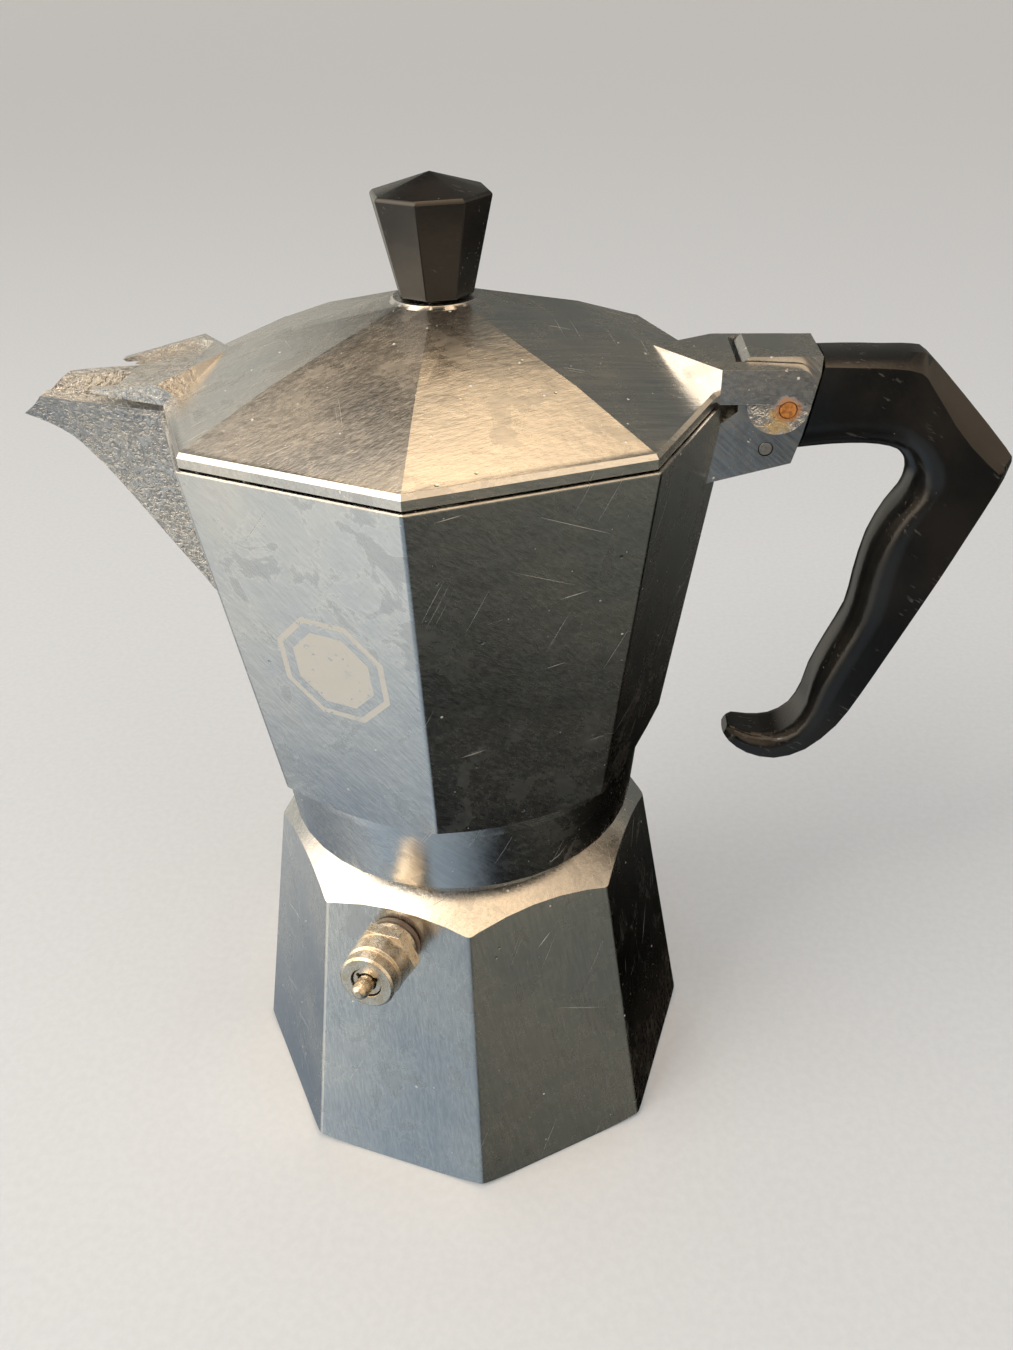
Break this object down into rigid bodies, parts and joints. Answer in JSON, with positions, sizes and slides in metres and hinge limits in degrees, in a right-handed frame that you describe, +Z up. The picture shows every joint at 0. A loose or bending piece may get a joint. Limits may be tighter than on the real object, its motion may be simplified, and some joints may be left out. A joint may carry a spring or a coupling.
{
  "type": "stovetop moka pot",
  "caption": "Octagonal stovetop moka pot: boiler with safety valve, funnel, seal and filter, spouted collector with hinged lid, black knob and side handle.",
  "frame": {"origin": "centre of the boiler's flat underside, on the pot's vertical axis", "axes": "+Z up along the pot's axis; the spout points along -X and the handle along +X; the valve faces forwards and slightly left, towards -Y"},
  "size_m": [0.1839, 0.1096, 0.2049],
  "materials": {
    "cast_aluminium": "polished cast aluminium, aged, with fine scratches, pits and water stains",
    "spun_aluminium": "spun sheet aluminium, satin",
    "nickel_brass": "worn nickel plate over brass",
    "plated_steel": "zinc plated steel",
    "rusty_steel": "steel with orange rust",
    "black_bakelite": "black thermoset moulding, glossy, lightly scuffed",
    "seal_rubber": "off-white moulded rubber",
    "fibre": "red-brown fibre washer"
  },
  "bodies": {
    "boiler_body": {"boiler": "cast_aluminium", "valve_body": "nickel_brass", "valve_washer": "fibre", "valve_cap": "nickel_brass", "valve_spring": "plated_steel"},
    "valve_pin_body": {"valve_pin": "nickel_brass", "valve_seal": "seal_rubber"},
    "funnel": {"funnel_body": "spun_aluminium", "funnel_disc": "spun_aluminium"},
    "seal_pack": {"gasket": "seal_rubber", "filter_plate": "spun_aluminium"},
    "collector_body": {"collector": "cast_aluminium", "column": "cast_aluminium", "handle": "black_bakelite", "handle_pin": "plated_steel", "hinge_pin": "rusty_steel"},
    "lid_body": {"lid": "cast_aluminium", "knob": "black_bakelite", "knob_insert": "nickel_brass", "knob_screw": "plated_steel", "knob_washer": "plated_steel"}
  },
  "joints": [
    {"name": "funnel_lift", "type": "slide", "parent": "boiler_body", "child": "funnel", "axis": [0, 0, 1], "range_m": [0, 0.085]},
    {"name": "collector_rise", "type": "slide", "parent": "funnel", "child": "seal_pack", "axis": [0, 0, 1], "range_m": [0, 0.00751]},
    {"name": "collector_turn", "type": "hinge", "parent": "seal_pack", "child": "collector_body", "pos_m": [0, 0, 0.09], "axis": [0, 0, 1], "range_deg": [0, 900]},
    {"name": "lid_hinge", "type": "hinge", "parent": "collector_body", "child": "lid_body", "pos_m": [0.0615, 0, 0.1676], "axis": [0, 1, 0], "range_deg": [0, 100]},
    {"name": "valve_pin_travel", "type": "slide", "parent": "boiler_body", "child": "valve_pin_body", "axis": [-0.2713, -0.9494, 0.1582], "range_m": [0, 0.002], "stiffness_N_per_m": 500, "springref_m": -0.004, "deforming": ["valve_spring"]}
  ],
  "couplings": [
    {"joint": "collector_rise", "follows": "collector_turn", "m_per_rad": 0.00047746}
  ]
}
